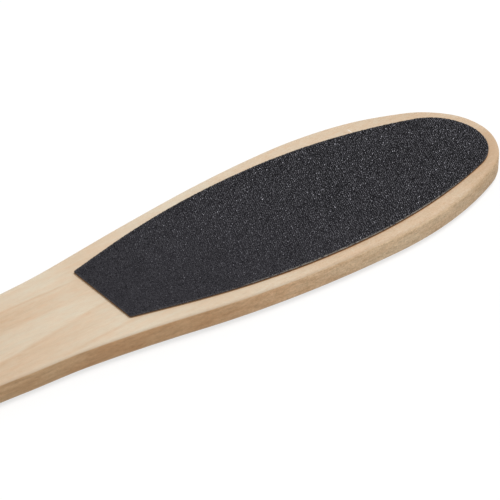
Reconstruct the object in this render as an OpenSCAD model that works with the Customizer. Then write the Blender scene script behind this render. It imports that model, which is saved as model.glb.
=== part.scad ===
// Foot file: a flat wooden paddle with an abrasive sheet stuck to each side of its head.
// The head's tip points along +X. The file lies on its fine sheet, coarse side up, and the
// origin is at the middle of its length and width, on the surface that it lies on.

/* [Head] */
// Width of the head at its widest place
head_w = 52; // [46:0.5:58]
// Length from the head's tip back to its widest place
head_front_l = 52; // [46:0.1:58]
// Radius of the head's tip
head_tip_r = 19; // [16:0.5:21]
// Radius of the head's sides behind its widest place
head_side_r = 308; // [260:1:360]

/* [Neck] */
// Width of the neck at its narrowest place
neck_w = 26.4; // [24:0.2:31]
// Length from the head's widest place back to the neck's narrowest place
neck_run_l = 133; // [120:0.1:145]

/* [Grip] */
// Swell of the grip on each side, past the neck's narrowest half width
grip_swell = 2; // [0.8:0.1:3]
// Length from the neck's narrowest place back to the grip's widest place
grip_run_l = 41; // [34:0.5:50]
// Length from the grip's widest place to the end of the paddle
grip_end_l = 34; // [28:0.5:42]
// Radius of the end of the grip
grip_end_r = 11; // [8:0.5:12]

/* [Wood] */
// Thickness of the paddle
wood_t = 6; // [5:0.1:8]
// Radius of the round along both edges of the paddle
edge_r = 1.4; // [0.6:0.1:2.2]

/* [Hanging hole] */
// Diameter of the hole at the end of the grip
hole_d = 5; // [3:0.5:8]
// Bevel around each mouth of the hole
hole_bevel = 0.5; // [0.2:0.1:1]

/* [Abrasive sheets] */
// Margin of bare wood between the head's tip and each sheet's tip
tip_margin = 3.7; // [3:0.1:6]
// Margin of bare wood on each side, at the sheet's and the head's full widths
side_margin = 4.4; // [3:0.1:7]
// Radius of each sheet's tip
sheet_tip_r = 14.4; // [12:0.1:16]
// Length from each sheet's tip back to its widest place
sheet_front_l = 57.7; // [50:0.1:66]
// Length from each sheet's widest place back to its straight rear edge
sheet_rear_l = 63.5; // [54:0.1:70]
// Radius of each sheet's sides behind its widest place, up to where they run straight
sheet_side_r = 203; // [160:1:210]
// Width of each sheet where its sides turn into its straight rear edge
sheet_rear_w = 24; // [18:0.2:28]
// Radius of the two corners at each sheet's straight rear edge
sheet_corner_r = 0.7; // [0.4:0.1:3]
// Distance by which the coarse sheet sits to one side of the paddle's middle line
coarse_shift = 0.55; // [0:0.05:1.5]
// Angle by which the coarse sheet is stuck askew, its tip towards the side that it sits to
coarse_turn = 0.2; // [0:0.1:1]

/* [Layers] */
// Thickness of the glue film under each sheet
glue_t = 0.1; // [0.05:0.05:0.3]
// Thickness of the backing paper of each sheet
backing_t = 0.25; // [0.15:0.05:0.5]
// Thickness of the coarse grit coat
coarse_grit_t = 0.4; // [0.2:0.05:0.8]
// Thickness of the fine grit coat
fine_grit_t = 0.2; // [0.1:0.05:0.5]

/* [Hidden] */
$fn = 180;

// Longest straight step, and largest turn in degrees, that an outline takes along an arc
step_l = 4;
step_turn = 6;
// Steps across the quarter round of the paddle's edges
round_steps = 4;
// Run of every cut past the face that it opens
overrun = 1;

// Stations along X: the tip, the widest places, the neck, the end and the sheets' rear edge
paddle_l = head_front_l + neck_run_l + grip_run_l + grip_end_l;
tip_x = paddle_l / 2;
wide_x = tip_x - head_front_l;
neck_x = wide_x - neck_run_l;
grip_x = neck_x - grip_run_l;
end_x = grip_x - grip_end_l;
sheet_tip_x = tip_x - tip_margin;
sheet_wide_x = sheet_tip_x - sheet_front_l;
sheet_rear_x = sheet_wide_x - sheet_rear_l;
sheet_mid_x = (sheet_tip_x + sheet_rear_x) / 2;

// Half widths at those stations
head_y = head_w / 2;
neck_y = neck_w / 2;
grip_y = neck_y + grip_swell;
sheet_y = head_y - side_margin;
sheet_rear_y = sheet_rear_w / 2;

// Levels along Z, from the surface that the file lies on
fine_backing_z = fine_grit_t;
fine_glue_z = fine_backing_z + backing_t;
wood_z = fine_glue_z + glue_t;
coarse_glue_z = wood_z + wood_t;
coarse_backing_z = coarse_glue_z + glue_t;
coarse_grit_z = coarse_backing_z + backing_t;

// Radius of an arc that rises by h over a run of l and ends level
function rise_r(l, h) = (l * l + h * h) / (2 * h);

// Radius of the arc that is level at a half width of y, a run of l away from the centre of an
// end circle of radius r, and that meets the circle smoothly
function shoulder_r(l, y, r) = (l * l + y * y - r * r) / (2 * (y - r));

// Direction from the point a to the point b, from zero to a full turn
function heading(a, b) = let (t = atan2(b.y - a.y, b.x - a.x)) t < 0 ? t + 360 : t;

// An arc is its centre, its radius, and the directions from the centre to its two ends, in the
// order of travel from the tip to the rear: they rise on a round side and fall on a hollow one.
// It has a fifth entry, true, only where a straight run follows it.

// Two arcs on the +Y side that meet smoothly: the circle of radius r at the tip x, and the
// shoulder that runs level at the station wide, at a half width of y
function tip_arcs(x, r, wide, y) =
    let (c = [x - r, 0], s = shoulder_r(c.x - wide, y, r), m = [wide, y - s], t = heading(m, c))
    [[c, r, 0, t], [m, s, t, 90]];

// The same two arcs the other way round, for the circle of radius r at the rear end x
function end_arcs(x, r, wide, y) =
    let (c = [x + r, 0], s = shoulder_r(wide - c.x, y, r), m = [wide, y - s], t = heading(m, c))
    [[m, s, 90, t], [c, r, t, 180]];

// From level at a on a round side of radius r, smoothly into a hollow that is level at b
function falling_arcs(a, b, r) =
    let (s = rise_r(a.x - b.x, a.y - b.y), m = [a.x, a.y - r], n = [b.x, b.y + s - r],
         t = heading(m, n))
    [[m, r, 90, t], [n, s - r, t + 180, 270]];

// From level at a in a hollow, smoothly into a round side of the same radius, level at b
function rising_arcs(a, b) =
    let (r = rise_r(a.x - b.x, b.y - a.y) / 2, m = [a.x, a.y + r], n = [b.x, b.y - r],
         t = heading(m, n))
    [[m, r, 270, t], [n, r, t - 180, 90]];

// From level at a on a round side of radius r, then straight on to the corner at b, where an arc
// of radius e turns it to face -X. The side is never so flat that it would pass outside the corner.
function corner_arcs(a, b, r, e) =
    let (c = [b.x + e, b.y - e], s = min(r, shoulder_r(a.x - c.x, a.y - c.y, e)),
         m = [a.x, a.y - s], t = heading(m, c) - acos(min(1, (s - e) / norm(c - m))))
    [[m, s, 90, t, true], [c, e, t, 180]];

wood_arcs = concat(
    tip_arcs(tip_x, head_tip_r, wide_x, head_y),
    falling_arcs([wide_x, head_y], [neck_x, neck_y], head_side_r),
    rising_arcs([neck_x, neck_y], [grip_x, grip_y]),
    end_arcs(end_x, grip_end_r, grip_x, grip_y));

sheet_arcs = concat(
    tip_arcs(sheet_tip_x, sheet_tip_r, sheet_wide_x, sheet_y),
    corner_arcs([sheet_wide_x, sheet_y], [sheet_rear_x, sheet_rear_y], sheet_side_r,
                sheet_corner_r));

// Number of straight steps along an arc
function steps(arc) =
    let (turn = abs(arc[3] - arc[2]))
    ceil(max(turn / step_turn, turn * PI / 180 * arc[1] / step_l));

// The point at a share of the way along an arc, moved into the material by inset
function on_arc(arc, share, inset) =
    let (t = arc[2] + (arc[3] - arc[2]) * share, side = sign(arc[3] - arc[2]))
    arc[0] + (arc[1] - side * inset) * [cos(t), sin(t)];

// The +Y half of an outline, from the tip to the rear
function half_outline(arcs, inset) = concat(
    [for (arc = arcs) for (i = [0 : steps(arc) - (arc[4] == true ? 0 : 1)])
        on_arc(arc, i / steps(arc), inset)],
    [on_arc(arcs[len(arcs) - 1], 1, inset)]);

// The whole outline, back along the -Y side. The points that lie on the middle line, the first
// and the last rear_points of the half, come only once.
function whole_outline(half, rear_points) = concat(
    half,
    [for (i = [len(half) - 1 - rear_points : -1 : 1]) [half[i].x, -half[i].y]]);

// A plate of thickness t on z = 0 whose outline starts and ends on the middle line, with both
// edges rounded by r: one closed shell of rings that follow the outline, from the bottom up
module rounded_plate(arcs, t, r) {
    turns = [for (i = [0 : round_steps]) 90 * i / round_steps];
    levels = concat([for (a = turns) [r - r * sin(a), r - r * cos(a)]],
                    [for (a = turns) [r - r * cos(a), t - r + r * sin(a)]]);
    rings = [for (l = levels)
             [for (p = whole_outline(half_outline(arcs, l[0]), 1)) [p.x, p.y, l[1]]]];
    n = len(rings[0]);
    top = n * (len(rings) - 1);
    // The point i of a ring lies on the +Y side up to n / 2, and its mirror image is n - i
    bottom_faces = concat([for (i = [1 : n / 2 - 1]) [i - 1, i, n - i]],
                          [for (i = [2 : n / 2]) [i - 1, n - i, n - i + 1]]);
    top_faces = [for (f = bottom_faces) [top + f[2], top + f[1], top + f[0]]];
    side_faces = [for (k = [0 : n : top - 1]) for (i = [0 : n - 1]) let (j = (i + 1) % n)
                  [k + i, k + n + i, k + n + j, k + j]];
    polyhedron([for (ring = rings) each ring], concat(bottom_faces, side_faces, top_faces));
}

// One thin layer of an abrasive sheet, from the level z up, turned about the sheet's middle and
// moved sideways by shift
module sheet_layer(z, t, shift, turn) {
    translate([sheet_mid_x, shift, z])
        rotate(turn)
            translate([-sheet_mid_x, 0, 0])
                linear_extrude(t)
                    polygon(whole_outline(half_outline(sheet_arcs, 0), 0));
}

// One layer of the coarse sheet, stuck on a little to one side and askew
module coarse_layer(z, t) {
    sheet_layer(z, t, -coarse_shift, -coarse_turn);
}

// One layer of the fine sheet, in line with the paddle
module fine_layer(z, t) {
    sheet_layer(z, t, 0, 0);
}

// The hole through the grip, around the centre of the grip's end, with both mouths bevelled
module hanging_hole() {
    hole_r = hole_d / 2;
    translate([end_x + grip_end_r, 0, wood_z]) {
        translate([0, 0, -overrun]) cylinder(h = wood_t + 2 * overrun, r = hole_r);
        translate([0, 0, wood_t - hole_bevel])
            cylinder(h = hole_bevel + overrun, r1 = hole_r, r2 = hole_r + hole_bevel + overrun);
        translate([0, 0, -overrun])
            cylinder(h = hole_bevel + overrun, r1 = hole_r + hole_bevel + overrun, r2 = hole_r);
    }
}

// Paddle of light solid wood, all edges rounded
module wood_paddle() {
    color([0.86, 0.77, 0.66])
        difference() {
            translate([0, 0, wood_z]) rounded_plate(wood_arcs, wood_t, edge_r);
            hanging_hole();
        }
}

// Dark coarse grit coat, on the side that faces up
module coarse_grit() {
    color([0.21, 0.21, 0.24]) coarse_layer(coarse_grit_z, coarse_grit_t);
}

// Orange-brown backing paper of the coarse sheet
module coarse_backing() {
    color([0.62, 0.38, 0.18]) coarse_layer(coarse_backing_z, backing_t);
}

// Glue film that holds the coarse sheet to the wood
module coarse_glue() {
    color([0.80, 0.72, 0.58]) coarse_layer(coarse_glue_z, glue_t);
}

// Glue film that holds the fine sheet to the wood
module fine_glue() {
    color([0.80, 0.72, 0.58]) fine_layer(fine_glue_z, glue_t);
}

// Orange-brown backing paper of the fine sheet
module fine_backing() {
    color([0.62, 0.38, 0.18]) fine_layer(fine_backing_z, backing_t);
}

// Dark fine grit coat, on the side that faces down
module fine_grit() {
    color([0.26, 0.26, 0.28]) fine_layer(0, fine_grit_t);
}

wood_paddle();
coarse_grit();
coarse_backing();
coarse_glue();
fine_glue();
fine_backing();
fine_grit();
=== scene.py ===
"""Looks of the foot file: its wood, both grit coats, the layers under them, light and camera.

The file and the camera's place are written in millimetres, and turned into metres where a mesh
or the camera is made. The floor, the lamp and the camera's clip distances are in metres. X runs
towards the head's tip, Y across the file, Z up, with the floor at zero.
"""

import math

import bpy
import numpy as np
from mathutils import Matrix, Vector
from mathutils.geometry import delaunay_2d_cdt


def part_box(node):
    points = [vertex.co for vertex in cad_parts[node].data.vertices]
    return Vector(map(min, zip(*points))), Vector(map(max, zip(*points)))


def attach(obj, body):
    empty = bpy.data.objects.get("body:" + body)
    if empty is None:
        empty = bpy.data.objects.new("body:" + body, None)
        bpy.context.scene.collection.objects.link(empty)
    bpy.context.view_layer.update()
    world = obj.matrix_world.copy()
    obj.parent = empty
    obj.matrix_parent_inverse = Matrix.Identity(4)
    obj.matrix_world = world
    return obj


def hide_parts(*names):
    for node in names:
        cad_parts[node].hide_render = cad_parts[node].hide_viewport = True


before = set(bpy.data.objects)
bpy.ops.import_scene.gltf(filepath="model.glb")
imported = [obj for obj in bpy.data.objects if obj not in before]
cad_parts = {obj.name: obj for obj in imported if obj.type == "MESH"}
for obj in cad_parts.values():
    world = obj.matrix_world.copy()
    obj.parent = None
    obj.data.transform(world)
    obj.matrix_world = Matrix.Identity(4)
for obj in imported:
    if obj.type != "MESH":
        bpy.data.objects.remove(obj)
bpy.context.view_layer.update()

MM = 0.001
SEED = 41

# Outline of the wood, as in the part's source
HEAD_W, HEAD_FRONT_L, HEAD_TIP_R, HEAD_SIDE_R = 52.0, 52.0, 19.0, 308.0
NECK_W, NECK_RUN_L = 26.4, 133.0
GRIP_SWELL, GRIP_RUN_L, GRIP_END_L, GRIP_END_R = 2.0, 41.0, 34.0, 11.0
HOLE_R, HOLE_BEVEL = 2.5, 0.5
WOOD_TOP = 6.55
TIP_X = (HEAD_FRONT_L + NECK_RUN_L + GRIP_RUN_L + GRIP_END_L) / 2
WIDE_X = TIP_X - HEAD_FRONT_L
NECK_X = WIDE_X - NECK_RUN_L
GRIP_X = NECK_X - GRIP_RUN_L
END_X = GRIP_X - GRIP_END_L
HEAD_Y, NECK_Y = HEAD_W / 2, NECK_W / 2
GRIP_Y = NECK_Y + GRIP_SWELL

# Round along the wood's lower edges, and along its upper ones, which are softer at the head
LOW_ROUND, GRIP_ROUND, HEAD_ROUND = 1.2, 0.9, 1.15
ROUND_FROM_X, ROUND_TO_X = 40.0, 85.0
ROUND_STEPS = 8
# How far hand sanding left each side of the head off the source's outline, with where along X
# that starts, is at its most and ends. The near side's goes on to the tip and fades along Y there
NEAR_IN, NEAR_IN_X, NEAR_IN_Y = 0.65, (22.0, 84.0), (0.0, -14.0)
FAR_IN, FAR_IN_X = 0.62, (8.0, 36.0, 88.0)
FAR_OUT, FAR_OUT_X = 0.3, (86.0, 104.0, 118.0)
TIP_IN, TIP_IN_X = 0.35, (116.0, 125.0, 130.0)
# How far the neck and the grip run outside the source's outline
GRIP_OUT, FAR_GRIP_X, NEAR_GRIP_X = 0.55, (-1.0, -19.0, -90.0), (-10.0, -26.0, -90.0)
# The points of an outline are at most a step apart, and turn by at most so many degrees
OUTLINE_STEP, OUTLINE_TURN = 1.0, 2.5
# A flat rim runs round the wood's top and underside, and a lattice of points fills the rest: gap
# between points, gap between rows as a share of that, reach along Y, and how far it stays clear
# of the rim and of the hole
CAP_RIM = 0.35
CAP_STEP, CAP_ROW, CAP_Y = 3.0, 0.866, 27
CAP_CLEAR, HOLE_CLEAR = 0.9, 1.0
MOUTH_R, HOLE_SIDES = HOLE_R + HOLE_BEVEL, 64
HOLE_AT = (END_X + GRIP_END_R, 0)

# Outline of the sheets
TIP_MARGIN, SIDE_MARGIN, SHEET_TIP_R = 3.7, 4.4, 14.4
SHEET_FRONT_L, SHEET_REAR_L, SHEET_SIDE_R = 57.7, 63.5, 203.0
SHEET_REAR_W, SHEET_CORNER_R = 24.0, 0.7
COARSE_SHIFT, COARSE_TURN = 0.55, 0.2
SHEET_TIP_X = TIP_X - TIP_MARGIN
SHEET_WIDE_X = SHEET_TIP_X - SHEET_FRONT_L
SHEET_REAR_X = SHEET_WIDE_X - SHEET_REAR_L
SHEET_MID_X = (SHEET_TIP_X + SHEET_REAR_X) / 2
SHEET_Y, SHEET_REAR_Y = HEAD_Y - SIDE_MARGIN, SHEET_REAR_W / 2


# Arcs: centre, radius and the directions from the centre to its two ends
def rise_r(run, rise):
    return (run * run + rise * rise) / (2 * rise)


def shoulder_r(run, y, r):
    return (run * run + y * y - r * r) / (2 * (y - r))


def heading(a, b):
    return math.degrees(math.atan2(b[1] - a[1], b[0] - a[0])) % 360


def tip_arcs(x, r, wide, y):
    c = (x - r, 0)
    s = shoulder_r(c[0] - wide, y, r)
    m = (wide, y - s)
    t = heading(m, c)
    return [(c, r, 0, t), (m, s, t, 90)]


def end_arcs(x, r, wide, y):
    c = (x + r, 0)
    s = shoulder_r(wide - c[0], y, r)
    m = (wide, y - s)
    t = heading(m, c)
    return [(m, s, 90, t), (c, r, t, 180)]


def falling_arcs(a, b, r):
    s = rise_r(a[0] - b[0], a[1] - b[1])
    m, n = (a[0], a[1] - r), (b[0], b[1] + s - r)
    t = heading(m, n)
    return [(m, r, 90, t), (n, s - r, t + 180, 270)]


def rising_arcs(a, b):
    r = rise_r(a[0] - b[0], b[1] - a[1]) / 2
    m, n = (a[0], a[1] + r), (b[0], b[1] - r)
    t = heading(m, n)
    return [(m, r, 270, t), (n, r, t - 180, 90)]


def corner_arcs(a, b, r, e):
    """A round side, then a straight run to the corner."""
    m, c = (a[0], a[1] - r), (b[0] + e, b[1] - e)
    t = heading(m, c) - math.degrees(math.acos((r - e) / math.dist(m, c)))
    return [(m, r, 90, t), (c, e, t, 180)]


WOOD_ARCS = (
    tip_arcs(TIP_X, HEAD_TIP_R, WIDE_X, HEAD_Y)
    + falling_arcs((WIDE_X, HEAD_Y), (NECK_X, NECK_Y), HEAD_SIDE_R)
    + rising_arcs((NECK_X, NECK_Y), (GRIP_X, GRIP_Y))
    + end_arcs(END_X, GRIP_END_R, GRIP_X, GRIP_Y)
)
SHEET_ARCS = tip_arcs(SHEET_TIP_X, SHEET_TIP_R, SHEET_WIDE_X, SHEET_Y) + corner_arcs(
    (SHEET_WIDE_X, SHEET_Y), (SHEET_REAR_X, SHEET_REAR_Y), SHEET_SIDE_R, SHEET_CORNER_R
)


def half_line(arcs, step, turn):
    """Points and outward directions of the +Y half, from the tip to the rear."""
    rows = []
    for c, r, a, b in arcs:
        n = math.ceil(max(abs(b - a) / turn, math.radians(abs(b - a)) * r / step))
        side = 1 if b > a else -1
        for i in range(n + 1):
            t = math.radians(a + (b - a) * i / n)
            at = np.array([c[0] + r * math.cos(t), c[1] + r * math.sin(t)])
            out = np.array([math.cos(t), math.sin(t)]) * side
            if i == 0 and rows:
                # The arc starts where the last one ended, or after a straight run
                start = rows[-1][:2]
                runs = math.ceil((np.linalg.norm(at - start) - step / 100) / step)
                for k in range(1, runs + 1):
                    rows.append(np.append(start + (at - start) * k / runs, out))
            else:
                rows.append(np.append(at, out))
    return np.array(rows)


def whole_line(half, on_middle):
    """The closed outline. The first point, and the last one if on_middle, come only once."""
    back = half[1 : -1 if on_middle else None][::-1] * np.array([1, -1, 1, -1])
    return np.concatenate([half, back])


def smooth_step(x, a, b):
    t = np.clip((x - a) / (b - a), 0, 1)
    return t * t * (3 - 2 * t)


def swell(x, start, most, end):
    return smooth_step(x, start, most) * smooth_step(x, end, most)


def reach_at(x, half):
    """How far the +Y half of an outline reaches in Y at x, and less than 0 past its ends."""
    return np.interp(x, half[::-1, 0], half[::-1, 1], left=-1, right=-1)


def steps_along(points):
    return np.linalg.norm(np.roll(points, -1, 0) - points, axis=1)


def lengths_along(points):
    """Shares of a closed line's length, from 0 at its first point to 1 back there."""
    step = steps_along(points)
    return np.concatenate([[0], np.cumsum(step)]) / step.sum()


def in_mm(box):
    return (c / MM for c in map(np.array, box))


# Meshes: points in millimetres, triangles with their own places on the pattern's map
class Shell:
    def __init__(self):
        self.points, self.faces, self.places, self.count = [], [], [], 0

    def add_points(self, points):
        self.points.append(np.asarray(points, float))
        self.count += len(points)
        return np.arange(self.count - len(points), self.count)

    def add_faces(self, faces, places):
        self.faces.append(np.asarray(faces, int))
        self.places.append(np.asarray(places, float))

    def strip(self, low, high, u, heights):
        """A band of quads as triangles between two closed rings of points, low under high. u has
        the places along the map, one more than the points, and heights the two up it."""
        low_next, high_next = np.roll(low, -1), np.roll(high, -1)
        (a0, b0), (a1, b1) = (
            [np.column_stack([at, np.full(len(low), height)]) for at in (u[:-1], u[1:])]
            for height in heights
        )
        self.add_faces(np.stack([low, low_next, high_next], 1), np.stack([a0, b0, b1], 1))
        self.add_faces(np.stack([low, high_next, high], 1), np.stack([a0, b1, a1], 1))

    def piece(self, name, node, material, smooth):
        points = np.concatenate(self.points) * MM
        faces, places = np.concatenate(self.faces), np.concatenate(self.places)
        mesh = bpy.data.meshes.new(name)
        mesh.vertices.add(len(points))
        mesh.vertices.foreach_set("co", points.astype(np.float32).ravel())
        mesh.loops.add(faces.size)
        mesh.loops.foreach_set("vertex_index", faces.astype(np.int32).ravel())
        mesh.polygons.add(len(faces))
        mesh.polygons.foreach_set("loop_start", np.arange(0, faces.size, 3, dtype=np.int32))
        mesh.polygons.foreach_set("use_smooth", np.full(len(faces), smooth))
        mesh.update(calc_edges=True)
        layer = mesh.uv_layers.new(name="OFBake")
        layer.uv.foreach_set("vector", places.astype(np.float32).ravel())
        mesh.validate()
        mesh.materials.append(material)
        made = bpy.data.objects.new(name, mesh)
        bpy.context.scene.collection.objects.link(made)
        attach(made, "root")
        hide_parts(node)
        return made


# For the triangulation: keep what is inside the ring, and take points this close as one
INSIDE, SAME_POINT = 1, 1e-7


def filled(ring, inner):
    """Triangles, facing up, that fill a closed ring of flat points, with inner points as well.
    Returns the triangles as indices into the ring's points followed by the inner ones."""
    points = np.concatenate([ring, inner]) if len(inner) else ring
    n = len(ring)
    edges = [(i, (i + 1) % n) for i in range(n)]
    vectors = [Vector(p) for p in points.tolist()]
    _, _, faces, came, _, _ = delaunay_2d_cdt(vectors, edges, [], INSIDE, SAME_POINT)
    index = np.array([c[0] for c in came])
    faces = index[np.array(faces)]
    a, b, c = points[faces[:, 0]], points[faces[:, 1]], points[faces[:, 2]]
    turn = (b - a)[:, 0] * (c - a)[:, 1] - (b - a)[:, 1] * (c - a)[:, 0]
    faces[turn < 0] = faces[turn < 0][:, ::-1]
    return faces


# Node trees
class Nodes:
    def __init__(self, name, world=None):
        self.material = world or bpy.data.materials.new(name)
        self.material.use_nodes = True
        self.tree = self.material.node_tree
        self.shader = self.tree.nodes.get("Principled BSDF")

    def add(self, kind, inputs=(), **settings):
        node = self.tree.nodes.new(kind)
        for key, value in settings.items():
            setattr(node, key, value)
        for socket, value in dict(inputs).items():
            self.put(node.inputs[socket], value)
        return node

    def put(self, socket, value):
        if isinstance(value, bpy.types.NodeSocket):
            self.tree.links.new(value, socket)
        else:
            socket.default_value = value

    def math(self, operation, a, b=0.0, c=0.0, clamp=False):
        node = self.add("ShaderNodeMath", {0: a, 1: b, 2: c}, operation=operation, use_clamp=clamp)
        return node.outputs[0]

    def times(self, first, *others):
        for other in others:
            first = self.math("MULTIPLY", first, other)
        return first

    def plus(self, first, *others):
        for other in others:
            first = self.math("ADD", first, other)
        return first

    def minus(self, a, b):
        return self.math("SUBTRACT", a, b)

    def offset(self, value, from_value, amount, base):
        """The base plus the amount times what the value is above from_value."""
        return self.math("MULTIPLY_ADD", self.minus(value, from_value), amount, base)

    def mix(self, share, a, b, blend="MIX"):
        node = self.add("ShaderNodeMix", {0: share, 6: a, 7: b}, data_type="RGBA", blend_type=blend)
        return node.outputs[2]

    def stretched(self, vector, scale):
        node = self.add("ShaderNodeVectorMath", {0: vector, 1: scale}, operation="MULTIPLY")
        return node.outputs[0]

    def noise(self, vector, scale=1.0, detail=2.0, roughness=0.5):
        inputs = {"Vector": vector, "Scale": scale, "Detail": detail, "Roughness": roughness}
        return self.add("ShaderNodeTexNoise", inputs).outputs["Fac"]

    def drawn_out(self, vector, scales, detail, roughness):
        """Noise with a scale of its own along each axis."""
        return self.noise(self.stretched(vector, scales), detail=detail, roughness=roughness)

    def span(self, value, low, high, out_low=0.0, out_high=1.0, smooth=True):
        """The value's way from low to high, turned into one from out_low to out_high."""
        inputs = {"Value": value, "From Min": low, "From Max": high}
        inputs |= {"To Min": out_low, "To Max": out_high}
        kind = "SMOOTHSTEP" if smooth else "LINEAR"
        return self.add("ShaderNodeMapRange", inputs, interpolation_type=kind).outputs["Result"]

    def ramp(self, value, stops):
        node = self.add("ShaderNodeValToRGB", {"Fac": value})
        while len(node.color_ramp.elements) < len(stops):
            node.color_ramp.elements.new(0.5)
        for element, (place, colour) in zip(node.color_ramp.elements, stops):
            element.position = place
            element.color = (*colour, 1)
        return node.outputs["Color"]

    def place_mm(self):
        """The place on the object, in millimetres."""
        coordinates = self.add("ShaderNodeTexCoord")
        return self.stretched(coordinates.outputs["Object"], (1 / MM,) * 3)

    def parts(self, vector):
        return self.add("ShaderNodeSeparateXYZ", {0: vector}).outputs

    def joined(self, x, y, z):
        return self.add("ShaderNodeCombineXYZ", {0: x, 1: y, 2: z}).outputs[0]

    def multiplied(self, colour, value, stops, share=1.0):
        """The colour times a ramp's colour, by a share from 0 to 1."""
        return self.mix(share, colour, self.ramp(value, stops), "MULTIPLY")

    def scaled(self, colour, value):
        return self.mix(1.0, colour, self.joined(value, value, value), "MULTIPLY")

    def bump(self, height, strength, distance_mm):
        inputs = {"Height": height, "Strength": strength, "Distance": distance_mm * MM}
        self.put(self.shader.inputs["Normal"], self.add("ShaderNodeBump", inputs).outputs[0])

    def finish(self, colour, varies, spread, least, specular=0.5):
        """The shader's colour, its roughness, as the least plus the spread times a value that
        varies, and its specular level."""
        self.put(self.shader.inputs["Base Color"], colour)
        self.put(self.shader.inputs["Roughness"], self.math("MULTIPLY_ADD", varies, spread, least))
        self.put(self.shader.inputs["Specular IOR Level"], specular)


def rgb(r, g, b):
    return (r, g, b, 1.0)


def grey(level):
    return (level, level, level)


# Light solid wood, sanded and left bare. Its tone runs from cream, at 0, over tan, at 1, to the
# brown of the tip, at 1.5, which is partly the wood's own tone and partly painted shade where the
# near rim rounds over. A fade holds two places or values, the one it starts from and the one it
# ends at, and then its amounts at the two, where they aren't 0 and 1.
CREAM, LIGHT_TAN = (0.765, 0.668, 0.518), (0.728, 0.588, 0.433)
TAN, BROWN = (0.692, 0.512, 0.350), (0.612, 0.425, 0.268)
WOOD_COLOURS = ((0.0, CREAM), (0.33, LIGHT_TAN), (0.67, TAN), (1.0, BROWN))
TONE_MOST = 1.5
# The middle of what a noise gives
MIDDLE = 0.5
# Growth rings: how far a ring moves across for each millimetre down, and how much it sways. The
# top and foot of a band are fades too, measured across from its ring
RING_LEAN, RING_SWAY = 3.7, 1.2
FAR_RING_Y = 8.8
FAR_LINE_W, FAR_LINE_FADE = 0.6, (16, -4, 0.0, 0.50)
FAR_BAND_TOP, FAR_BAND_FOOT = (0.6, -5.0), (-8.6, -5.4)
FAR_DARK_TOP, FAR_DARK_FOOT = (0.3, -0.6), (-4.8, -2.6, 0.0, 0.5)
FAR_BAND_FADE = (12, -22, 0.10, 0.66)
# Two rings that climb towards the head: from and to along X, from and to along Y
NEAR_RING = (-30, 4, -8.2, -3.3)
NEAR_LINE_W, NEAR_LINE_FADE = 1.0, (26, -2, 0.0, 0.48)
NEAR_BAND_TOP, NEAR_BAND_FOOT = (0.4, -0.9), (-8.5, -3.0, 0.3, 1.0)
NEAR_BAND_FADE = (14, -20, 0.22, 0.50)
THIRD_RING = (-14, 4, -14.6, -12.9)
THIRD_LINE_W, THIRD_LINE_FADES = 0.9, ((20, 2), (-22, -10, 0.0, 0.44))
# Tone along the far and near rims: place along X, tone
FAR_TONES = ((-30, 0.60), (-2, 0.35), (9, 0.82), (42, 0.22), (70, 0.64), (104, 0.68), (115, 0.90))
# On the near rim the browner tones towards the tip are partly painted shade of its round edge
NEAR_TONES = ((-30, 0.60), (4, 0.26), (28, 0.62), (42, 0.34), (57, 0.86), (104, 1.01), (115, 1.48))
NEAR_RIM = (4, -8)
# Painted shade: a dimming of the wood's colour towards the handle end and the tip, as place along X
# and factor
PAINTED_SHADE_ALONG_X = ((-32, 0.958), (3, 1.0), (90, 1.0), (118, 0.95))
TONES_X = (-30, 130)
# Noise drawn out along the grain: scales for each axis, detail, roughness
GRAIN = {
    "sway": ((0.012, 0.035, 0.05), 2, 0.4),
    "wobble": ((0.06, 0.25, 0.3), 2, 0.5),
    "broad": ((0.012, 0.16, 0.16), 2, 0.5),
    "narrow": ((0.022, 0.75, 0.75), 3, 0.6),
    "fibre": ((0.13, 3.4, 3.4), 3, 0.75),
    "fleck": ((0.32, 1.1, 1.1), 3, 0.65),
    "speck": ((1.3, 2.4, 2.4), 3, 0.7),
    "dust": ((2.4, 4.0, 4.0), 2, 0.6),
    "blush": ((0.16, 0.6, 0.6), 3, 0.6),
    "vessel": ((0.35, 5.5, 5.5), 1, 0.5),
    "saw": ((0.16, 1.0, 1.3), 4, 0.65),
    "pores": ((0.9, 1.5, 1.8), 4, 0.75),
    "patch": ((0.11, 0.30, 0.50), 3, 0.55),
}
# Streaks and specks: how much each one changes the tone
BROAD_AMOUNT, NARROW_AMOUNT, FIBRE_AMOUNT, FLECK_AMOUNT = 0.40, 0.45, 0.45, 0.75
SPECK_FADE = (-20, 95, 0.35, 1.5)
DUST_FADE, DUST_AMOUNT = (0, 75, 0.08, 1.0), 1.5
BLUSH_COLOURS = ((0.30, (0.972, 1.006, 1.022)), (0.70, (1.022, 0.992, 0.972)))
VESSEL_OPEN, VESSEL_FADE = (0.60, 0.70), (0, 80, 0.12, 0.4)
VESSEL_COLOUR = (0.50, 0.31, 0.17)
SCRATCH_AT, SCRATCH_SHARE = (100.1, 19.3, WOOD_TOP), (3.6, 0.72, 0.5)
SCRATCH_FADE, SCRATCH_COLOUR = (1.0, 0.4, 0.0, 0.7), (0.88, 0.84, 0.76)
# The cut side faces: where they start, by how far the surface faces up or down, and what is
# added to that towards the neck, where they start on steeper ground
CUT_FROM, CUT_STEEPER = (0.78, 0.38), (62, 82, 0.16, 0.0)
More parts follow.
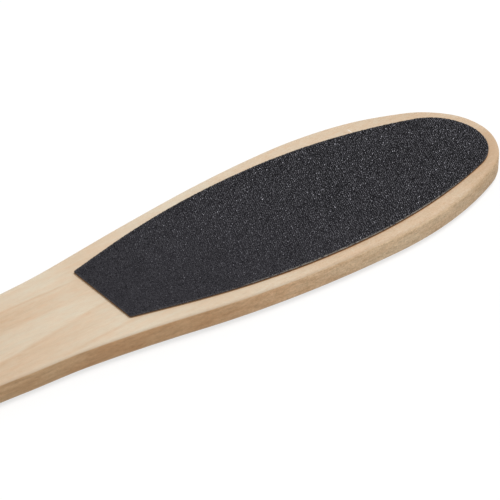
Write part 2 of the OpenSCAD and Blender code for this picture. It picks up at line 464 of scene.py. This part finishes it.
# Their colour: place along X, colour. The darker browns towards the neck are partly painted shade
CUT_TONES = (
    (-20, (0.568, 0.366, 0.200)),
    (-9, (0.566, 0.340, 0.176)),
    (22, (0.590, 0.360, 0.190)),
    (42, (0.700, 0.462, 0.270)),
    (72, (0.720, 0.534, 0.345)),
    (94, (0.670, 0.490, 0.316)),
    (120, (0.545, 0.384, 0.232)),
)
SAW_COLOURS = ((0.30, (0.86, 0.85, 0.83)), (0.50, grey(1.0)), (0.70, (1.10, 1.11, 1.12)))
PORE_COLOURS = ((0.32, (0.78, 0.75, 0.70)), (0.50, (1.0, 0.995, 0.98)), (0.68, (1.15, 1.18, 1.22)))
PORE_FADE = (-5, 80, 0.45, 1.0)
CUT_DUST_COLOURS = ((0.3, grey(0.86)), (0.7, grey(1.14)))
PATCH_COLOURS = ((0.34, (0.95, 0.91, 0.87)), (0.50, grey(1.0)), (0.66, (1.02, 1.05, 1.08)))
# Painted light: the side faces are made paler towards their top, from and to along Z, and the
# factors there
CUT_PALER = (3.2, 5.8, 0.99, 1.06)
# Relief, as shares of the bump's height. Every bump has a strength and a height in millimetres,
# every roughness a spread and a least
VESSEL_RELIEF, FIBRE_RELIEF, PORE_RELIEF = -0.4, 0.6, 0.6
WOOD_BUMP, WOOD_ROUGH, WOOD_SPECULAR = (0.35, 0.05), (0.16, 0.54), 0.3


def on_ramp(stops):
    """Stops on the ramp for stops at places along X."""
    low, high = TONES_X
    return [((at - low) / (high - low), colour) for at, colour in stops]


def along_tones(n, x, tones):
    """The tone at x, read off a line through the given tones."""
    stops = on_ramp([(at, grey(tone / TONE_MOST)) for at, tone in tones])
    return n.times(n.ramp(n.span(x, *TONES_X, smooth=False), stops), TONE_MOST)


def wood_rings(n, x, y, z, sway, wobble):
    """How much tan the growth rings add. They are cut at a slant, so that they cross a side face
    close together."""
    across = n.offset(z, WOOD_TOP, RING_LEAN, y)
    across = n.offset(sway, MIDDLE, RING_SWAY, across)
    across = n.offset(wobble, MIDDLE, RING_SWAY, across)

    # The far ring: a thin line with a tan band below it that fades towards the head
    far = n.minus(across, FAR_RING_Y)
    far_line = n.times(n.span(n.math("ABSOLUTE", far), FAR_LINE_W, 0.0), n.span(x, *FAR_LINE_FADE))
    far_band = n.times(n.span(far, *FAR_BAND_TOP), n.span(far, *FAR_BAND_FOOT))
    far_dark = n.times(n.span(far, *FAR_DARK_TOP), n.span(far, *FAR_DARK_FOOT))
    far_band = n.times(n.plus(far_band, far_dark), n.span(x, *FAR_BAND_FADE))
    # The near ring: it climbs towards the head, and the wood below it is tan
    near = n.minus(across, n.span(x, *NEAR_RING, smooth=False))
    near_line = n.times(
        n.span(n.math("ABSOLUTE", near), NEAR_LINE_W, 0.0), n.span(x, *NEAR_LINE_FADE)
    )
    near_band = n.times(n.span(near, *NEAR_BAND_TOP), n.span(near, *NEAR_BAND_FOOT))
    near_band = n.times(near_band, n.span(x, *NEAR_BAND_FADE))
    third = n.math("ABSOLUTE", n.minus(across, n.span(x, *THIRD_RING, smooth=False)))
    third_line = n.times(*(n.span(x, *fade) for fade in THIRD_LINE_FADES))
    third_line = n.times(n.span(third, THIRD_LINE_W, 0.0), third_line)
    return n.plus(n.plus(far_line, far_band), n.plus(near_line, near_band), third_line)


def cut_colour(n, x, z, grain, dusty):
    """The side faces: browner and darker at the neck, partly as painted shade, greyer and mottled
    at the head.
    """
    # Painted shade in part: the side's colour along X is darker towards the neck
    cut = n.ramp(n.span(x, *TONES_X, smooth=False), on_ramp(CUT_TONES))
    cut = n.multiplied(cut, grain["saw"], SAW_COLOURS)
    cut = n.multiplied(cut, grain["pores"], PORE_COLOURS, n.span(x, *PORE_FADE))
    cut = n.multiplied(cut, grain["dust"], CUT_DUST_COLOURS, dusty)
    cut = n.multiplied(cut, grain["patch"], PATCH_COLOURS)
    # Painted light: paler towards the top of the side faces
    return n.scaled(cut, n.span(z, *CUT_PALER))


def wood_material():
    n = Nodes("wood")
    place = n.place_mm()
    x, y, z = n.parts(place)
    grain = {name: n.drawn_out(place, *looks) for name, looks in GRAIN.items()}

    # Browner towards the tip, on the near rim sooner than on the far one; on the near rim this is
    # partly painted shade of the round edge
    near_rim = n.span(y, *NEAR_RIM)
    far_tone = n.times(n.minus(1.0, near_rim), along_tones(n, x, FAR_TONES))
    tone = n.math("MULTIPLY_ADD", near_rim, along_tones(n, x, NEAR_TONES), far_tone)
    tone = n.plus(wood_rings(n, x, y, z, grain["sway"], grain["wobble"]), tone)
    # Streaks along the grain, from broad to fibre-fine, and specks that are clearer at the head
    dusty = n.span(x, *DUST_FADE)
    amounts = {
        "broad": BROAD_AMOUNT,
        "narrow": NARROW_AMOUNT,
        "fibre": FIBRE_AMOUNT,
        "fleck": FLECK_AMOUNT,
        "speck": n.span(x, *SPECK_FADE),
        "dust": n.times(dusty, DUST_AMOUNT),
    }
    for name, amount in amounts.items():
        tone = n.offset(grain[name], MIDDLE, amount, tone)
    colour = n.ramp(n.math("DIVIDE", tone, TONE_MOST, clamp=True), WOOD_COLOURS)
    colour = n.multiplied(colour, grain["blush"], BLUSH_COLOURS)
    # Painted shade: darker towards the handle end and the tip
    colour = n.scaled(colour, along_tones(n, x, PAINTED_SHADE_ALONG_X))

    # Open ends of short vessels, as fine dashes
    open_vessel = n.span(grain["vessel"], *VESSEL_OPEN)
    colour = n.mix(n.times(open_vessel, n.span(x, *VESSEL_FADE)), colour, rgb(*VESSEL_COLOUR))

    # A pale scratch on the far rim of the head
    scratch = n.add("ShaderNodeVectorMath", {0: place, 1: SCRATCH_AT}, operation="SUBTRACT")
    scratch = n.stretched(scratch.outputs[0], SCRATCH_SHARE)
    scratch = n.add("ShaderNodeVectorMath", {0: scratch}, operation="LENGTH").outputs["Value"]
    colour = n.mix(n.span(scratch, *SCRATCH_FADE), colour, rgb(*SCRATCH_COLOUR))

    up = n.math("ABSOLUTE", n.parts(n.add("ShaderNodeNewGeometry").outputs["Normal"])[2])
    side = n.span(n.plus(up, n.span(x, *CUT_STEEPER)), *CUT_FROM)
    colour = n.mix(side, colour, cut_colour(n, x, z, grain, dusty))

    height = n.times(grain["fibre"], FIBRE_RELIEF)
    height = n.math("MULTIPLY_ADD", open_vessel, VESSEL_RELIEF, height)
    height = n.math("MULTIPLY_ADD", n.times(grain["pores"], side), PORE_RELIEF, height)
    n.bump(height, *WOOD_BUMP)
    n.finish(colour, grain["narrow"], *WOOD_ROUGH, WOOD_SPECULAR)
    return n.material


# Mineral grains in dark resin, with painted glints: pale spots at fairly even gaps that stand for
# grain faces catching the light
GRAIN_PICKS, GRAIN_SHARES = (0.0, 0.50, 0.75, 0.90, 0.97), (0.50, 0.90, 1.5, 2.2, 3.2)
# Resin covers the grains more towards the rear and the near side, where fewer painted glints are
# put
FORWARD_LEAN = 0.5
CLEAR_FADE, GLINT_SPOT_FADE = (-5, 95, 0.24, 1.0), (-5, 88, 0.07, 0.95)
FACES_PER_MM, FACE_SPREAD, FACES_TURN = 1.85, 0.60, 23.0
# How far the grains break up a face's outline, in millimetres, and where it ends, as a share of
# the gap between faces
FACE_BREAK, FACE_EDGE = 0.15, (0.25, 0.11)
# By each face's chance: how strong its painted glint is, from where it glints in full, and how
# bright the fainter painted glints are
GLINT_SPOT_LEVEL, GLINT_FADE, FAINT_GLINT_SHARE = (0, 1, 0.52, 1.0), (0.90, 1.0), 0.40
CLOUDS, CLOUD_COLOURS = (0.07, 3, 0.6), ((0.3, grey(0.90)), (0.7, grey(1.08)))
# The cut edge, by the rim value that build_grit gives, and where along X and Y its painted
# highlight and painted shade are strongest
HIGHLIGHT_BREAKS, HIGHLIGHT_BREAK_FADE = (1.1, 3, 0.7), (0.34, 0.54)
RIM_TOP, WALL_FROM = (0.25, 0.65), (-0.1, -0.8)
PAINTED_EDGE_X, PAINTED_EDGE_Y, EDGE_HIGHLIGHT_LEAST = ((22, 58), (112, 92)), (-8, -14), 0.10
WALL_SHADE_FADE = (0, 1, 0.15, 0.90)
# Colours of the painted highlight along the edge and of the painted shade on its wall
EDGE_HIGHLIGHT_COLOUR, WALL_SHADE_COLOUR = (0.33, 0.29, 0.24), (0.100, 0.054, 0.026)
GRIT_ROUGH, GRIT_SPECULAR = (0.34, 0.30), 0.10
FACETS_PER_GRAIN, FACET_DETAIL, GRIT_BUMP = 2.5, 1, (0.5, 0.04)


def grit_material(name, grains_per_mm, dark, resin, glint_colour, edge_highlight):
    """dark is the colour of a middling grain, resin that of a covered one and glint_colour that
    of a painted glint. The last argument is how strong the painted highlight along the broken edge
    is on its near side."""
    n = Nodes(name)
    place = n.place_mm()
    x, y, _ = n.parts(place)
    grain = n.add(
        "ShaderNodeTexVoronoi",
        {"Vector": place, "Scale": grains_per_mm, "Randomness": 1.0},
        voronoi_dimensions="3D",
    )
    pick, shine, _ = n.parts(grain.outputs["Color"])
    stops = [(at, tuple(k * c for c in dark)) for at, k in zip(GRAIN_PICKS, GRAIN_SHARES)]
    forward = n.math("MULTIPLY_ADD", y, FORWARD_LEAN, x)
    colour = n.mix(n.span(forward, *CLEAR_FADE), rgb(*resin), n.ramp(pick, stops))

    # Painted glints: pale spots on faces, whose outlines follow the grains. A few of them are
    # painted near white
    broken_up = n.add(
        "ShaderNodeVectorMath",
        {0: grain.outputs["Color"], 1: (FACE_BREAK, FACE_BREAK, 0.0), 2: place},
        operation="MULTIPLY_ADD",
    )
    turned = n.add(
        "ShaderNodeVectorRotate",
        {"Vector": broken_up.outputs[0], "Angle": math.radians(FACES_TURN)},
        rotation_type="Z_AXIS",
    )
    face = n.add(
        "ShaderNodeTexVoronoi",
        {"Vector": turned.outputs[0], "Scale": FACES_PER_MM, "Randomness": FACE_SPREAD},
        voronoi_dimensions="2D",
    )
    chance = n.parts(face.outputs["Color"])[0]
    # Painted highlight: pale spots that stand for grain faces catching the light
    glint_spots = n.times(
        n.span(face.outputs["Distance"], *FACE_EDGE),
        n.span(chance, *GLINT_SPOT_LEVEL, smooth=False),
        n.span(forward, *GLINT_SPOT_FADE),
    )
    glint = n.span(chance, *GLINT_FADE, smooth=False)
    bright = n.mix(glint, rgb(*(FAINT_GLINT_SHARE * c for c in glint_colour)), rgb(*glint_colour))
    colour = n.mix(glint_spots, colour, bright)
    colour = n.multiplied(colour, n.noise(place, *CLOUDS), CLOUD_COLOURS)

    # Along the cut edge a broken pale line is painted as a highlight, most of all on the near side,
    # above a wall whose lower part is painted dark brown as shade
    rim = n.add("ShaderNodeAttribute", attribute_name="rim").outputs["Fac"]
    broken = n.span(n.noise(place, *HIGHLIGHT_BREAKS), *HIGHLIGHT_BREAK_FADE)
    near = n.times(*(n.span(x, *fade) for fade in PAINTED_EDGE_X), n.span(y, *PAINTED_EDGE_Y))
    share = n.math("MULTIPLY_ADD", near, edge_highlight, EDGE_HIGHLIGHT_LEAST)
    # Painted highlight: a broken pale line along the top of the cut edge
    colour = n.mix(n.times(share, broken, n.span(rim, *RIM_TOP)), colour, rgb(*EDGE_HIGHLIGHT_COLOUR))
    # Painted shade: the wall's lower part darkened to brown on the near side
    wall = n.times(n.span(rim, *WALL_FROM), n.span(near, *WALL_SHADE_FADE))
    colour = n.mix(wall, colour, rgb(*WALL_SHADE_COLOUR))

    n.finish(colour, shine, *GRIT_ROUGH, GRIT_SPECULAR)
    n.bump(n.noise(place, grains_per_mm * FACETS_PER_GRAIN, FACET_DETAIL), *GRIT_BUMP)
    return n.material


# Backing paper: rusty fibres, stained in places, and paler towards the rear
PAPER_GRAIN, STAINS = ((0.5, 2.2, 6.0), 4, 0.7), (0.12, 2)
PAPER_COLOURS = ((0.3, (0.17, 0.075, 0.030)), (0.7, (0.29, 0.135, 0.055)))
STAIN_FADE, STAIN_COLOUR = (0.35, 0.65, 0.0, 0.5), (0.16, 0.085, 0.042)
PALE_FADE, PALE_COLOUR = (45, 20, 0.0, 0.7), (0.235, 0.155, 0.098)
PAPER_ROUGH, PAPER_SPECULAR, PAPER_BUMP = (0.2, 0.65), 0.25, (0.4, 0.03)


def backing_material():
    n = Nodes("backing_paper")
    place = n.place_mm()
    fibres = n.drawn_out(place, *PAPER_GRAIN)
    stain = n.span(n.noise(place, *STAINS), *STAIN_FADE)
    colour = n.mix(stain, n.ramp(fibres, PAPER_COLOURS), rgb(*STAIN_COLOUR))
    colour = n.mix(n.span(n.parts(place)[0], *PALE_FADE), colour, rgb(*PALE_COLOUR))
    n.finish(colour, fibres, *PAPER_ROUGH, PAPER_SPECULAR)
    n.bump(fibres, *PAPER_BUMP)
    return n.material


# Dried glue, in drops of two shades
GLUE_COLOURS = ((0.3, (0.46, 0.26, 0.11)), (0.7, (0.62, 0.41, 0.20)))
GLUE_DROPS, GLUE_ROUGH, GLUE_BUMP = (0.9, 3, 0.6), (0.25, 0.25), (0.5, 0.03)


def glue_material():
    n = Nodes("glue_film")
    drops = n.noise(n.place_mm(), *GLUE_DROPS)
    n.finish(n.ramp(drops, GLUE_COLOURS), drops, *GLUE_ROUGH)
    n.bump(drops, *GLUE_BUMP)
    return n.material


# The map that patterns are drawn on: bands of its height for the wood's top, underside, side wall
# and hole, and the share of its width that the hole takes
MAP_EDGE = 0.01
TOP_BAND, BOTTOM_BAND = (0.01, 0.39), (0.41, 0.79)
WALL_BAND, HOLE_BAND = (0.81, 0.93), (0.95, 0.99)
HOLE_SHARE = 0.3


def across_map(share):
    return MAP_EDGE + share * (1 - 2 * MAP_EDGE)


def in_band(points, low, high, band):
    """Places on the map for points in plan, where low and high are the plan's corners."""
    share = (points[..., :2] - low) / (high - low)
    return np.stack([across_map(share[..., 0]), band[0] + share[..., 1] * (band[1] - band[0])], -1)


def wood_line():
    """X before sanding, the sanded outline's points, and their outward directions."""
    line = whole_line(half_line(WOOD_ARCS, OUTLINE_STEP, OUTLINE_TURN), True)
    (x, y), out = line[:, :2].T, line[:, 2:]
    far = FAR_OUT * swell(x, *FAR_OUT_X) - FAR_IN * swell(x, *FAR_IN_X)
    far = far - TIP_IN * swell(x, *TIP_IN_X)
    near = -NEAR_IN * smooth_step(x, *NEAR_IN_X) * smooth_step(y, *NEAR_IN_Y)
    grip = GRIP_OUT * np.where(y > 0, swell(x, *FAR_GRIP_X), swell(x, *NEAR_GRIP_X))
    off = np.where(y > 0, far, near) + grip
    return x, line[:, :2] + out * off[:, None], out


def wood_levels(x, bottom_z, top_z):
    """Insets from the outline and heights, from the underside's flat rim to the top's."""
    r = GRIP_ROUND + (HEAD_ROUND - GRIP_ROUND) * smooth_step(x, ROUND_FROM_X, ROUND_TO_X)
    low_r = np.full_like(r, LOW_ROUND)
    turns = np.radians(np.linspace(0, 90, ROUND_STEPS + 1))
    levels = [(low_r + CAP_RIM, np.full_like(r, bottom_z))]
    levels += [(low_r - low_r * math.sin(a), bottom_z + low_r - low_r * math.cos(a)) for a in turns]
    levels += [(r - r * math.cos(a), top_z - r + r * math.sin(a)) for a in turns]
    return levels + [(r + CAP_RIM, np.full_like(r, top_z))]


def cap_lattice(ring, low_x, high_x):
    """Points in staggered rows, inside the ring and clear of the hole."""
    columns, rows = np.arange(low_x, high_x, CAP_STEP), np.arange(-CAP_Y, CAP_Y, CAP_STEP * CAP_ROW)
    shifts = [CAP_STEP / 2 if j % 2 else 0 for j in range(len(rows))]
    grid = np.array([(x + shift, y) for shift, y in zip(shifts, rows) for x in columns])
    clear = np.linalg.norm(grid - HOLE_AT, axis=1) > MOUTH_R + HOLE_CLEAR
    reach = reach_at(grid[:, 0], ring[: len(ring) // 2 + 1])
    return grid[(np.abs(grid[:, 1]) < reach - CAP_CLEAR) & clear]


def build_wood(material):
    low, high = in_mm(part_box("wood_paddle"))
    x, flat, out = wood_line()
    levels = wood_levels(x, low[2], high[2])
    shell = Shell()
    rings = [np.column_stack([flat - out * inset[:, None], z]) for inset, z in levels]
    index = [shell.add_points(ring) for ring in rings]
    u = across_map(lengths_along(flat))
    cuts = np.linspace(*WALL_BAND, len(rings))
    for k in range(len(rings) - 1):
        shell.strip(index[k], index[k + 1], u, cuts[k : k + 2])

    turn = np.radians(np.arange(HOLE_SIDES) * 360 / HOLE_SIDES)
    around = np.column_stack([np.cos(turn), np.sin(turn)])
    mouth, throat = HOLE_AT + around * MOUTH_R, HOLE_AT + around * HOLE_R
    mouths, throats = [], []
    for k, up, band in ((0, -1, BOTTOM_BAND), (-1, 1, TOP_BAND)):
        ring, z = rings[k][:, :2], rings[k][0, 2]
        inner = np.concatenate([mouth, cap_lattice(ring, low[0], high[0])])
        points = np.concatenate([ring, inner])
        faces = filled(ring, inner)
        # Leave the hole open
        from_hole = np.linalg.norm(points[faces].mean(1) - HOLE_AT, axis=1)
        faces = faces[from_hole > MOUTH_R * math.cos(math.pi / HOLE_SIDES) ** 2][:, ::up]
        new = shell.add_points(np.column_stack([inner, np.full(len(inner), z)]))
        whole = np.concatenate([index[k], new])
        shell.add_faces(whole[faces], in_band(points[faces], low[:2], high[:2], band))
        mouths.append(new[:HOLE_SIDES])
        sunk = np.full(HOLE_SIDES, z - up * HOLE_BEVEL)
        throats.append(shell.add_points(np.column_stack([throat, sunk])))

    # The hole faces inwards, so its bands run the other way round
    u = MAP_EDGE + HOLE_SHARE * np.arange(HOLE_SIDES + 1) / HOLE_SIDES
    stack = [mouths[0], throats[0], throats[1], mouths[1]]
    cuts = np.linspace(*HOLE_BAND, len(stack))
    for k in range(len(stack) - 1):
        shell.strip(stack[k][::-1], stack[k + 1][::-1], u, cuts[k : k + 2])

    wood = shell.piece("wood", "wood_paddle", material, smooth=True)
    sharp = {frozenset(e) for ring in stack for e in zip(ring.tolist(), np.roll(ring, -1).tolist())}
    pairs = np.empty(len(wood.data.edges) * 2, np.int32)
    wood.data.edges.foreach_get("vertices", pairs)
    marks = [frozenset(p) in sharp for p in pairs.reshape(-1, 2).tolist()]
    wood.data.edges.foreach_set("use_edge_sharp", marks)


# Grit coats: a lattice of peaks with valleys between them. In shares of a cell: how far each one
# is shaken out of its place, how far they stay off the edge, and the step along the edge
PEAK_SHAKE, VALLEY_SHAKE, EDGE_INSET, RING_STEP = 0.33, 0.28, 0.5, 0.8
RING_TURN, LEAST_STEP = 4.0, 1e-6
# The step and turn of the outline that tells how far the sheet reaches
REACH_STEP, REACH_TURN = 0.5, 2.0
# Bands of a coat's map for its grains, its underside and its wall
SHEET_TOP_BAND, SHEET_BOTTOM_BAND, SHEET_WALL_BAND = (0.01, 0.80), (0.92, 0.99), (0.83, 0.89)
# The rim value is 1 at the top of the coat's wall, 0 from RIM_W further in, WALL_FOOT at its foot
RIM_W, WALL_FOOT = 0.6, -3.0
# Each coat's last two entries give the colour of its painted glints and the strength of the painted
# highlight along its near cut edge
COARSE_GRAINS = {
    "grains_per_mm": 6.2,
    "dark": (0.0092, 0.0088, 0.0112),
    "resin": (0.0380, 0.0364, 0.0436),
    "glint_colour": (0.92, 0.905, 1.00),
    "edge_highlight": 0.6,
}
FINE_GRAINS = {
    "grains_per_mm": 6.5,
    "dark": (0.0230, 0.0223, 0.0255),
    "resin": (0.050, 0.049, 0.055),
    "glint_colour": (0.28, 0.28, 0.30),
    "edge_highlight": 0.3,
}
COARSE_COAT = {
    "cell": 0.31,
    "shift": -COARSE_SHIFT,
    "turn": -COARSE_TURN,
    "up": 1,
    "peak_h": (0.55, 1.0),
    "valley_h": (0.30, 0.55),
    "rim_h": (0.30, 0.62),
    "seed": SEED,
}
FINE_COAT = {
    "cell": 0.38,
    "shift": 0.0,
    "turn": 0.0,
    "up": -1,
    "peak_h": (0.82, 1.0),
    "valley_h": (0.62, 0.82),
    "rim_h": (0.6, 0.85),
    "seed": SEED + 1,
}


def stuck_on(points, shift, turn):
    """Flat points of a sheet, turned about its middle by a number of degrees, moved sideways."""
    c, s = math.cos(math.radians(turn)), math.sin(math.radians(turn))
    x, y = points[:, 0] - SHEET_MID_X, points[:, 1]
    return np.column_stack([x * c - y * s + SHEET_MID_X, x * s + y * c + shift])


def sheet_ring(step):
    """The sheet's closed outline, with points along its straight rear edge as well."""
    line = whole_line(half_line(SHEET_ARCS, step, RING_TURN), False)[:, :2]
    line = line[steps_along(line) > LEAST_STEP]
    gap = steps_along(line)
    k = int(gap.argmax())
    start, end = line[k], line[(k + 1) % len(line)]
    count = max(2, int(gap[k] / step))
    fill = [start + (end - start) * i / count for i in range(1, count)]
    return np.concatenate([line[: k + 1], np.array(fill), line[k + 1 :]])


def grit_lattice(rng, cell, half):
    """Points inside the sheet's outline, of which half is given, and which ones are peaks."""
    xs, ys = np.arange(SHEET_REAR_X, SHEET_TIP_X, cell), np.arange(-SHEET_Y, SHEET_Y, cell)
    corners = np.column_stack([g.ravel() for g in np.meshgrid(xs, ys)])
    peaks = corners + rng.uniform(-PEAK_SHAKE, PEAK_SHAKE, corners.shape) * cell
    valleys = corners + cell / 2 + rng.uniform(-VALLEY_SHAKE, VALLEY_SHAKE, corners.shape) * cell
    points = np.concatenate([peaks, valleys])
    is_peak = np.arange(len(points)) < len(peaks)
    inset = half[:, :2] - half[:, 2:] * cell * EDGE_INSET
    keep = np.abs(points[:, 1]) < reach_at(points[:, 0], inset)
    keep &= points[:, 0] > SHEET_REAR_X + cell * EDGE_INSET
    return points[keep], is_peak[keep]


def build_grit(name, node, slot, material, cell, shift, turn, up, peak_h, valley_h, rim_h, seed):
    """up is 1 for a coat that faces up and -1 for one that faces down. The heights are shares of
    the coat's thickness, each from its least to its most."""
    rng = np.random.default_rng(seed)
    low, high = in_mm(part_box(node))
    seat_z, thick = (low if up > 0 else high)[2], high[2] - low[2]
    ring, half = sheet_ring(cell * RING_STEP), half_line(SHEET_ARCS, REACH_STEP, REACH_TURN)
    inner, is_peak = grit_lattice(rng, cell, half)
    n, m = len(ring), len(inner)
    rim_heights = rng.uniform(*rim_h, n)
    heights = np.where(is_peak, rng.uniform(*peak_h, m), rng.uniform(*valley_h, m))
    tall = seat_z + up * thick * np.concatenate([rim_heights, heights])
    at = stuck_on(np.concatenate([ring, inner]), shift, turn)

    shell = Shell()
    surface = shell.add_points(np.column_stack([at, tall]))
    base = shell.add_points(np.column_stack([at[:n], np.full(n, seat_z)]))
    plan = at.min(0), at.max(0)
    faces = filled(ring, inner)[:, ::up]
    shell.add_faces(surface[faces], in_band(at[faces], *plan, SHEET_TOP_BAND))
    under = filled(ring, ring[:0])[:, ::-up]
    shell.add_faces(base[under], in_band(at[under], *plan, SHEET_BOTTOM_BAND))
    walls = (base, surface[:n])[::up]
    shell.strip(*walls, across_map(lengths_along(ring)), SHEET_WALL_BAND)

    coat = shell.piece(name, node, material, smooth=False)
    rim = np.zeros(shell.count, np.float32)
    rim[surface[:n]], rim[base] = 1, WALL_FOOT
    from_edge = reach_at(inner[:, 0], half) - np.abs(inner[:, 1])
    rim[surface[n:]] = np.clip(1 - from_edge / RIM_W, 0, 1)
    coat.data.attributes.new("rim", "FLOAT", "POINT").data.foreach_set("value", rim)


build_wood(wood_material())
coarse_looks = grit_material("coarse_grains", **COARSE_GRAINS)
build_grit("coarse_coat", "coarse_grit", "coarse_grit", coarse_looks, **COARSE_COAT)
fine_looks = grit_material("fine_grains", **FINE_GRAINS)
build_grit("fine_coat", "fine_grit", "fine_grit", fine_looks, **FINE_COAT)


def dress(nodes, material):
    for name in nodes:
        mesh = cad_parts[name].data
        mesh.materials.clear()
        mesh.materials.append(material)


dress(["coarse_backing", "fine_backing"], backing_material())
dress(["coarse_glue", "fine_glue"], glue_material())

# Floor: white where the camera or a mirrored ray meets it, with the file's shadow, and greyer for
# the light that it throws back
FLOOR_SIZE = 6.0
FLOOR_THROWS, FLOOR_WHITE, FLOOR_LIFT = 0.72, 0.33, 0.70


def seen_rays(n):
    """1 for the camera's rays and for mirrored and refracted ones, and 0 for the rest."""
    path = n.add("ShaderNodeLightPath")
    kinds = [path.outputs[k] for k in ("Is Camera Ray", "Is Glossy Ray", "Is Transmission Ray")]
    return n.math("MAXIMUM", n.math("MAXIMUM", kinds[0], kinds[1]), kinds[2])


def build_floor():
    n = Nodes("floor")
    tree = n.tree
    tree.nodes.remove(n.shader)
    seen = seen_rays(n)
    colour = n.mix(seen, rgb(*grey(FLOOR_THROWS)), rgb(*grey(FLOOR_WHITE)))
    matt = n.add("ShaderNodeBsdfDiffuse", {"Color": colour})
    strength = n.times(seen, FLOOR_LIFT)
    lift = n.add("ShaderNodeEmission", {"Color": rgb(1, 1, 1), "Strength": strength})
    both = n.add("ShaderNodeAddShader", {0: matt.outputs[0], 1: lift.outputs[0]})
    tree.links.new(both.outputs[0], tree.nodes["Material Output"].inputs["Surface"])
    mesh = bpy.data.meshes.new("floor")
    h = FLOOR_SIZE / 2
    mesh.from_pydata([(-h, -h, 0), (h, -h, 0), (h, h, 0), (-h, h, 0)], [], [(0, 1, 2, 3)])
    mesh.materials.append(n.material)
    floor = bpy.data.objects.new("floor", mesh)
    bpy.context.scene.collection.objects.link(floor)


build_floor()

# Light: an even white sky and one soft lamp high on the tip's side
SKY = 0.50
KEY_FROM = (0.42, -0.06, 0.90)
KEY_DISTANCE, KEY_SIZE, KEY_LEVEL = 2.2, 0.95, 0.50


def build_light():
    world = bpy.data.worlds.new("sky")
    bpy.context.scene.world = world
    n = Nodes("sky", world)
    ground = n.tree.nodes["Background"]
    n.put(ground.inputs["Color"], rgb(1, 1, 1))
    n.put(ground.inputs["Strength"], n.span(seen_rays(n), 0, 1, SKY, 1.0, smooth=False))

    way = Vector(KEY_FROM).normalized()
    lamp = bpy.data.lights.new("key", "AREA")
    lamp.shape = "DISK"
    lamp.size = KEY_SIZE
    lamp.energy = KEY_LEVEL * math.pi**2 * KEY_DISTANCE**2 / way.z
    key = bpy.data.objects.new("key", lamp)
    key.location = way * KEY_DISTANCE
    key.rotation_mode = "QUATERNION"
    key.rotation_quaternion = way.to_track_quat("Z", "Y")
    bpy.context.scene.collection.objects.link(key)


build_light()

# Camera: level, at the photograph's place and angle
CAMERA_AT = (-282.78, -421.73, 374.05)
CAMERA_LOOKS = (0.50952, 0.64365, -0.57106)
CAMERA_LENS, SENSOR = 187.2, 36.0
CLIP_NEAR, CLIP_FAR = 0.01, 20.0


def build_camera():
    data = bpy.data.cameras.new("camera")
    data.sensor_width = SENSOR
    data.lens = CAMERA_LENS
    data.clip_start, data.clip_end = CLIP_NEAR, CLIP_FAR
    camera = bpy.data.objects.new("camera", data)
    camera.location = Vector(CAMERA_AT) * MM
    camera.rotation_mode = "QUATERNION"
    camera.rotation_quaternion = Vector(CAMERA_LOOKS).to_track_quat("-Z", "Y")
    bpy.context.scene.collection.objects.link(camera)
    bpy.context.scene.camera = camera


build_camera()
bpy.context.scene.view_settings.view_transform = "Standard"
